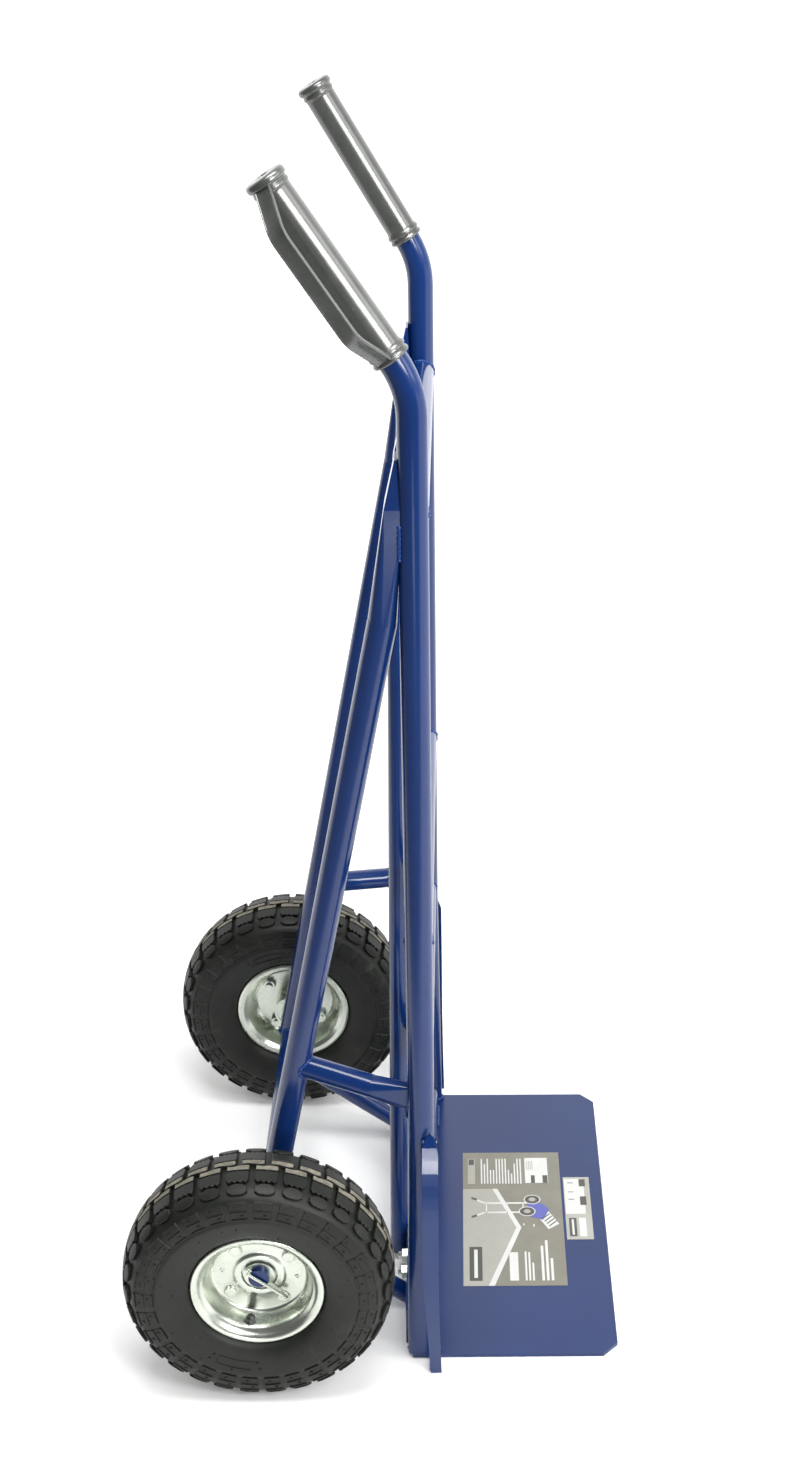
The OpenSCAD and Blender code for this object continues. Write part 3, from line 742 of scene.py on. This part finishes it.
def make_valve_cap(wheel, mat):
    """Short domed cap on the valve stem."""
    profile = [(2.7, 0.0), (4.0, 0.1), (4.2, 0.6), (4.2, 2.8), (3.9, 4.0), (3.1, 5.0), (1.8, 5.6), (0.02, 5.8)]
    verts, faces = lathe(profile, 32, closed=False)
    lean = (Matrix.Rotation(math.radians(-102), 4, "Z") @ Matrix.Translation((52.5, 0, 11))
            @ Matrix.Rotation(math.radians(-60), 4, "Y") @ Matrix.Translation((0, 0, 8.5)))
    o = new_object("valve_dome_" + wheel, placed(verts, wheel_matrix(wheel) @ lean), faces, [mat],
                   "wheel_" + wheel, angle=50)
    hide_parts("valve_cap_" + wheel)


# ---------------------------------------------------------------- toe bolts

def make_toe_bolts(mats):
    """Zinc shanks with thin painted heads."""
    lo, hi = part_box("toe_bolts")
    z = (lo[2] + hi[2]) / 2 / MM
    front, back = (hi[0] - UPRIGHT_X) / MM - 2.4, (lo[0] - UPRIGHT_X) / MM
    outer = hi[1] / MM - 7.5
    b = Batch()
    for y in (outer, outer - 25, -outer + 25, -outer):
        turn = Matrix.Translation(at(0, y, z)) @ Matrix.Rotation(math.radians(90), 4, "Y") @ Matrix.Scale(MM, 4)
        shank, faces = lathe([(0.02, back), (3.3, back), (4.0, back + 0.9), (4.0, front + 0.3)], 24,
                             closed=False)
        b.add(placed(shank, turn), faces, 0)
        head, faces = lathe([(4.0, front + 0.01), (6.6, front + 0.01), (6.3, front + 0.8), (4.6, front + 1.3),
                             (0.02, front + 1.5)], 32, closed=False)
        b.add(placed(head, turn), faces, 1)
    o = new_object("toe_bolt_shanks", b.verts, b.faces, mats, "frame", b.slots, angle=40)
    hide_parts("toe_bolts")


# ---------------------------------------------------------------- welds

def weld_path(batch, points, radius, closed=False, ripple=0.22):
    """A rippled bead along a line of points."""
    n = len(points)
    sides = 8
    rings = []
    for i, p in enumerate(points):
        a = points[(i - 1) % n] if closed or i else points[0]
        c = points[(i + 1) % n] if closed or i < n - 1 else points[-1]
        d = (c - a).normalized()
        ref = Vector((0, 0, 1)) if abs(d.z) < 0.9 else Vector((1, 0, 0))
        u = d.cross(ref).normalized()
        v = d.cross(u)
        swell = radius * (1 + ripple * math.sin(i * 2.1) + rng.uniform(-0.08, 0.08))
        if not closed and i in (0, n - 1):
            swell *= 0.35
        turns = [2 * math.pi * k / sides for k in range(sides)]
        rings.append([p + (u * math.cos(turn) + v * math.sin(turn)) * swell for turn in turns])
    verts = [v for ring in rings for v in ring]
    faces = []
    for i in range(n if closed else n - 1):
        j = (i + 1) % n
        for k in range(sides):
            q = (k + 1) % sides
            faces.append((i * sides + k, i * sides + q, j * sides + q, j * sides + k))
    if not closed:
        faces.append(tuple(range(sides)))
        faces.append(tuple((n - 1) * sides + k for k in range(sides)))
    batch.add(verts, faces)


def line(a, b, step=1.6):
    count = max(2, int((b - a).length / (step * MM)))
    return [a.lerp(b, i / count) for i in range(count + 1)]


def junction(p, to, ra, q, e, rb, count=48):
    """Where a tube of radius ra from p towards `to` leaves the tube of radius rb on the line q, e (mm)."""
    p, to, q, e = Vector(p), Vector(to), Vector(q), Vector(e).normalized()
    d = (to - p).normalized()
    ref = e if abs(d.dot(e)) < 0.9 else d.orthogonal()
    u = d.cross(ref).normalized()
    v = d.cross(u)
    pts = []
    for i in range(count):
        a = 2 * math.pi * i / count
        w = p + u * (ra * math.cos(a)) + v * (ra * math.sin(a)) - q
        flat_w, flat_d = w - e * w.dot(e), d - e * d.dot(e)
        aa, bb, cc = flat_d.dot(flat_d), flat_w.dot(flat_d), flat_w.dot(flat_w) - rb * rb
        t = (-bb + math.sqrt(max(bb * bb - aa * cc, 0.0))) / aa
        hit = q + w + d * t
        pts.append(at(*hit))
    return pts


def on_plane(p, to, ra, x, count=44):
    """Where a tube of radius ra from p towards `to` meets the plane at that x (mm)."""
    p, to = Vector(p), Vector(to)
    d = (to - p).normalized()
    u = d.cross(Vector((0, 1, 0))).normalized()
    v = d.cross(u)
    pts = []
    for i in range(count):
        a = 2 * math.pi * i / count
        w = p + u * (ra * math.cos(a)) + v * (ra * math.sin(a))
        hit = w + d * ((x - w.x) / d.x)
        pts.append(at(hit.x, hit.y, max(hit.z, 1.8)))
    return pts


TUBE_R, AXLE_R, STAY_R, BRACE_R = 12.5, 10, 9.7, 11
AXLE_X, AXLE_Z = -156, 130
TOP_BAR_Z, MIDDLE_BAR_Z, LOWER_BAR_Z = 890, 487, 300
INNER_BAR_Y, STAY_Y, STRUT_FOOT_Y = 60, 135, 165
STRUT_HEAD_X, STRUT_HEAD_Y, STRUT_HEAD_Z = -26.5, 201.5, 796
STRUT_PAD_Y, STRUT_PAD_HALF = 199.5, 14.2


def make_welds(mat):
    """Beads where the frame's tubes and plates are joined. Lengths are in mm."""
    b = Batch()
    uy = UPRIGHT_Y / MM
    axle = ((AXLE_X, 0, AXLE_Z), (0, 1, 0))
    for side in (-1, 1):
        post = ((0, side * uy, 0), (0, 0, 1))
        for z, x in ((TOP_BAR_Z, 0), (MIDDLE_BAR_Z, 0), (LOWER_BAR_Z, -1.8)):
            weld_path(b, junction((x, side * uy, z), (x, 0, z), TUBE_R, *post, TUBE_R), 1.5 * MM, closed=True)
        foot = (AXLE_X, side * STRUT_FOOT_Y, AXLE_Z)
        head = (STRUT_HEAD_X, side * STRUT_HEAD_Y, STRUT_HEAD_Z)
        along = Vector(head) - Vector(foot)
        joint_z, guard_top = (334, 286) if side < 0 else (320, 272)
        joint = Vector(foot) + along * ((joint_z - AXLE_Z) / (STRUT_HEAD_Z - AXLE_Z))
        weld_path(b, junction(foot, head, TUBE_R, *axle, AXLE_R), 1.8 * MM, closed=True)
        back, front = (AXLE_X, side * STAY_Y, 118), (-18, side * STAY_Y, 13.2)
        weld_path(b, junction(back, front, STAY_R, *axle, AXLE_R), 1.5 * MM, closed=True)
        weld_path(b, on_plane(back, front, STAY_R, -18.2), 1.8 * MM, closed=True)
        weld_path(b, junction(joint, (0, side * uy, 312), BRACE_R, foot, along, TUBE_R), 1.5 * MM, closed=True)
        # flattened strut head on the back of the upright: a bead along each edge; the
        # inboard one stands clear of the pad
        for dy in (-STRUT_PAD_HALF, STRUT_PAD_HALF):
            y = side * STRUT_PAD_Y + dy
            gap = math.sqrt(max(TUBE_R ** 2 - min(abs(y - side * uy), 12.3) ** 2, 0.6))
            weld_path(b, line(at(-gap - 1.0, y, 852), at(-gap - 0.6, y, 884)), 2.0 * MM)
        # feet of the uprights on the plate
        foot_line = [at(15.8 * math.cos(math.radians(a)), side * (uy + 7.8 * math.sin(math.radians(a))), 5.0)
                     for a in range(-165, 50, 6)]
        weld_path(b, foot_line, 2.1 * MM)
        # top of the wheel guard on the upright
        guard_bead = line(at(2.5, side * (uy + 13.4), guard_top - 8), at(2, side * (uy + 13.0), guard_top - 32))
        weld_path(b, guard_bead, 2.3 * MM)
        # pinched end of the brace on the upright
        for dy in (-5.0, 5.0):
            y = side * (uy - 1.5) + dy
            weld_path(b, line(at(-11.6, y, 302), at(-11.6, y, 323)), 1.5 * MM)
        # inner bars on the crossbars and on the lip
        for z, x in ((TOP_BAR_Z, -12.4), (MIDDLE_BAR_Z, -12.5), (LOWER_BAR_Z, -14.3)):
            for dy in (-6.5, 6.5):
                y = side * INNER_BAR_Y + dy
                weld_path(b, line(at(x, y, z - 7), at(x, y, z + 7)), 1.8 * MM)
        for dy in (-7, 7):
            y = side * INNER_BAR_Y + dy
            weld_path(b, line(at(-18.6, y, 12), at(-18.3, y, 42)), 2.0 * MM)
        weld_path(b, line(at(11.2, side * 190, 5), at(11.2, side * 150, 5)), 1.6 * MM)
    new_object("weld_beads", b.verts, b.faces, [mat], "frame", angle=60)


# ---------------------------------------------------------------- grips

GRIP_LEN = 165
# side, tilt in degrees, height where the bend starts, turn of the guard in degrees
GRIPS = {"right": (-1, 34, 969, 15), "left": (1, 31, 974.5, 12)}


def rounded(points, radius, steps=7):
    """A line through the points with its corners rounded."""
    out = [points[0]]
    for a, b, c in zip(points, points[1:], points[2:]):
        a, b, c = Vector(a), Vector(b), Vector(c)
        p = b + (a - b).normalized() * radius
        q = b + (c - b).normalized() * radius
        for i in range(steps + 1):
            t = i / steps
            out.append(tuple(p * (1 - t) ** 2 + b * 2 * t * (1 - t) + q * t * t))
    out.append(points[-1])
    return out


def make_grip(which, mat):
    """Sleeve with its collar and end cap, and the strap that guards the knuckles."""
    side, tilt, bend_z, turn = GRIPS[which]
    t = math.radians(tilt)
    bend_r, n = 85, GRIP_LEN
    base = at(-bend_r + bend_r * math.cos(t), side * UPRIGHT_Y / MM, bend_z + bend_r * math.sin(t))
    frame_m = Matrix.Translation(base) @ Matrix.Rotation(-t, 4, "Y") @ Matrix.Scale(MM, 4)
    sleeve = [(12.6, 0.9), (14.4, 0.8), (15.6, 1.1), (16.1, 2.0), (16.1, 3.1), (15.6, 4.0), (14.9, 4.7),
              (14.8, 5.6), (15.3, 6.3), (16.0, 6.9), (16.2, 7.9), (15.9, 9.1), (15.1, 10.2), (14.5, 11.2),
              (14.25, 12.6), (14.25, n - 12), (14.4, n - 10.4), (15.1, n - 9.6), (15.5, n - 8.6),
              (15.3, n - 7.4), (14.8, n - 6.4), (14.8, n - 5.4), (15.6, n - 4.6), (16.6, n - 3.6),
              (16.9, n - 2.2), (16.8, n - 0.6), (16.2, n + 0.8), (15.0, n + 1.8), (13.2, n + 2.3),
              (5.2, n + 2.5), (4.4, n + 2.2), (4.0, n + 1.3), (4.0, n - 14), (0.02, n - 14)]
    verts, faces = lathe(sleeve, 112, closed=False)
    # mould seams: two low ridges along the sleeve
    seam = []
    for x, y, z in verts:
        r, a = math.hypot(x, y), math.atan2(y, x)
        near = min(abs(math.remainder(a - s, 2 * math.pi)) for s in (math.radians(-140), math.radians(40)))
        k = 1 + (0.25 / r if near < 0.03 and 11 < z < n - 11 else 0)
        seam.append((x * k, y * k, z))
    b = Batch()
    b.add(seam, faces)
    phi = side * math.radians(90 + turn)
    out_dir, wide = Vector((math.cos(phi), math.sin(phi), 0)), Vector((-math.sin(phi), math.cos(phi), 0))
    low, high = 36, n - 34
    path = rounded([(12.8, n - 3.6), (38.7, high), (38.7, low), (14.0, 5.2)], 8)
    section = [(-7, -1.5), (-6.6, -2.0), (-5.9, -1.9), (-5.3, -1.1), (5.3, -1.1), (5.9, -1.9),
               (6.6, -2.0), (7, -1.5), (7, 1.1), (6.6, 1.7), (6.0, 1.8), (5.3, 1.3), (-5.3, 1.3),
               (-6.0, 1.8), (-6.6, 1.7), (-7, 1.1)]
    m = len(section)
    ring_verts = []
    for i, (r, z) in enumerate(path):
        r0, z0 = path[max(i - 1, 0)]
        r1, z1 = path[min(i + 1, len(path) - 1)]
        length = math.hypot(r1 - r0, z1 - z0)
        nr, nz = -(z1 - z0) / length, (r1 - r0) / length
        for w, h in section:
            p = out_dir * (r + nr * h) + wide * w
            ring_verts.append((p.x, p.y, z + nz * h))
    strap = [(i * m + k, i * m + (k + 1) % m, (i + 1) * m + (k + 1) % m, (i + 1) * m + k)
             for i in range(len(path) - 1) for k in range(m)]
    strap += [tuple(range(m)), tuple((len(path) - 1) * m + k for k in range(m))]
    b.add(ring_verts, strap)
    o = new_object("grip_moulding_" + which, placed(b.verts, frame_m), b.faces, [mat], "frame",
                   angle=40)
    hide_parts("grip_" + which)


# ---------------------------------------------------------------- label print

# height in mm of one layer of print over the one under it
PRINT_STEP = 0.04


def make_label_print(mats):
    """Plain blocks, stripes and bars: no lettering. Places run 0 to 1 across and along each label."""
    b = Batch()

    def patch(node, points, slot, lift):
        lo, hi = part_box(node)
        verts = [(lo[0] + (hi[0] - lo[0]) * u, hi[1] - (hi[1] - lo[1]) * v, hi[2] + lift * PRINT_STEP * MM)
                 for u, v in points]
        b.add(verts, [tuple(range(len(verts)))], slot)

    def bar(node, u0, v0, u1, v1, slot, lift=2):
        patch(node, [(u0, v0), (u0, v1), (u1, v1), (u1, v0)], slot, lift)

    def disc(node, u, v, ru, rv, slot, lift=3):
        patch(node, [(u + ru * math.cos(2 * math.pi * k / 28), v - rv * math.sin(2 * math.pi * k / 28))
                     for k in range(28)], slot, lift)

    white, light, dark, blue = 0, 1, 2, 3
    big, small = "product_label", "code_label"
    local = random.Random(4)
    patch(big, [(0, 0.29), (0, 1), (0.25, 1), (0.55, 0.59), (0.31, 0.29)], light, 1)
    patch(big, [(0.30, 0.29), (0.35, 0.29), (0.58, 0.585), (0.30, 1), (0.24, 1), (0.53, 0.585)], white, 2)
    bar(big, 0.05, 0.05, 0.125, 0.25, light)
    bar(big, 0.06, 0.055, 0.115, 0.10, dark, 3)
    u = 0.185
    while u < 0.60:
        start = local.choice((0.05, 0.05, 0.09, 0.14, 0.17))
        bar(big, u, start, u + 0.014, 0.25, white)
        u += 0.031
    bar(big, 0.64, 0.045, 0.875, 0.245, white)
    bar(big, 0.70, 0.185, 0.74, 0.245, dark, 3)
    bar(big, 0.82, 0.185, 0.87, 0.245, dark, 3)
    for k in range(4):
        bar(big, 0.66 + 0.018 * k, 0.07, 0.668 + 0.018 * k, 0.14, light, 3)
    # plain line figure of a truck
    for v, bend in ((0.395, 0.355), (0.465, 0.50)):
        patch(big, [(0.22, v), (0.22, v + 0.012), (0.66, v + 0.012), (0.66, v)], white, 3)
        patch(big, [(0.09, bend), (0.09, bend + 0.012), (0.22, v + 0.012), (0.22, v)], white, 3)
        patch(big, [(0.085, bend - 0.003), (0.085, bend + 0.013), (0.14, (bend * 2 + v) / 3 + 0.013),
                    (0.14, (bend * 2 + v) / 3 - 0.003)], dark, 4)
    for u in (0.23, 0.44, 0.60):
        bar(big, u, 0.40, u + 0.012, 0.475, white, 3)
    patch(big, [(0.64, 0.36), (0.80, 0.41), (0.87, 0.45), (0.80, 0.53), (0.66, 0.50)], blue, 4)
    patch(big, [(0.76, 0.515), (0.86, 0.465), (0.96, 0.56), (0.85, 0.60)], white, 3)
    for k in range(4):
        v = 0.515 + k * 0.018
        patch(big, [(0.79 + 0.022 * k, v + 0.004), (0.865 + 0.022 * k, v - 0.034),
                    (0.872 + 0.022 * k, v - 0.028), (0.797 + 0.022 * k, v + 0.010)], dark, 5)
    for u, v in ((0.70, 0.375), (0.645, 0.465)):
        disc(big, u, v, 0.085, 0.036, white, 5)
        disc(big, u, v, 0.075, 0.031, dark, 6)
        disc(big, u, v, 0.035, 0.015, light, 7)
    bar(big, 0.06, 0.725, 0.185, 0.965, dark)
    bar(big, 0.105, 0.745, 0.14, 0.945, white, 3)
    bar(big, 0.45, 0.765, 0.535, 0.965, white)
    for u0, u1, v0 in ((0.60, 0.618, 0.76), (0.635, 0.653, 0.765), (0.67, 0.688, 0.84), (0.76, 0.785, 0.72),
                       (0.805, 0.83, 0.68), (0.85, 0.875, 0.81)):
        bar(big, u0, v0, u1, 0.965, white)
    bar(big, 0.60, 0.555, 0.612, 0.57, white)
    bar(big, 0.70, 0.56, 0.712, 0.58, white)
    # small label
    bar(small, 0.03, 0.03, 0.78, 0.60, white)
    bar(small, 0.72, 0.02, 0.97, 0.60, light, 1)
    bar(small, 0.60, 0.035, 0.84, 0.155, dark, 3)
    bar(small, 0.60, 0.32, 0.84, 0.46, dark, 3)
    for v in (0.09, 0.24, 0.36):
        bar(small, 0.16, v, 0.38, v + 0.012, dark, 3)
    bar(small, 0.12, 0.665, 0.40, 0.955, dark)
    bar(small, 0.22, 0.69, 0.30, 0.93, white, 3)
    bar(small, 0.50, 0.665, 0.76, 0.955, white)
    new_object("label_print", b.verts, b.faces, mats, "frame", b.slots, smooth=False)


# ---------------------------------------------------------------- carried-over nodes

def dress(node, mat):
    o = NODES[node]
    o.data.materials.clear()
    o.data.materials.append(mat)


def main():
    make_camera()
    make_light()
    make_floor()
    paint, weld, plate = blue_paint(), weld_paint(), zinc()
    tyre_mats = [rubber(), rubber("tread_dust", dusty=True)]
    black, cap = rubber("black_rubber"), cap_plastic()
    grip = grip_plastic()
    film = label_film("grey_label_film", (0.215, 0.206, 0.160), (0.188, 0.179, 0.138))
    white = label_film("pale_label_film", (0.42, 0.42, 0.37), (0.38, 0.38, 0.33))
    inks = [ink("white_ink", (0.70, 0.70, 0.67)), ink("pale_ink", (0.40, 0.39, 0.34)),
            ink("dark_ink", (0.075, 0.072, 0.062)), ink("blue_ink", (0.10, 0.12, 0.42))]
    by_slot = {"blue_paint": paint, "zinc": plate, "tyre_rubber": tyre_mats[0], "black_rubber": black,
               "grip_plastic": grip, "grey_label": film, "white_label": white}
    for part in frame["record"]["subparts"]:
        dress(part["node"], by_slot[part["material_slot"]])
    for wheel in WHEELS:
        make_tyre(wheel, tyre_mats)
        make_rim(wheel, plate)
        make_rim_bolts(wheel, plate)
        make_valve_cap(wheel, cap)
    for which in GRIPS:
        make_grip(which, grip)
    make_toe_bolts([plate, paint])
    make_welds(weld)
    make_label_print(inks)


main()
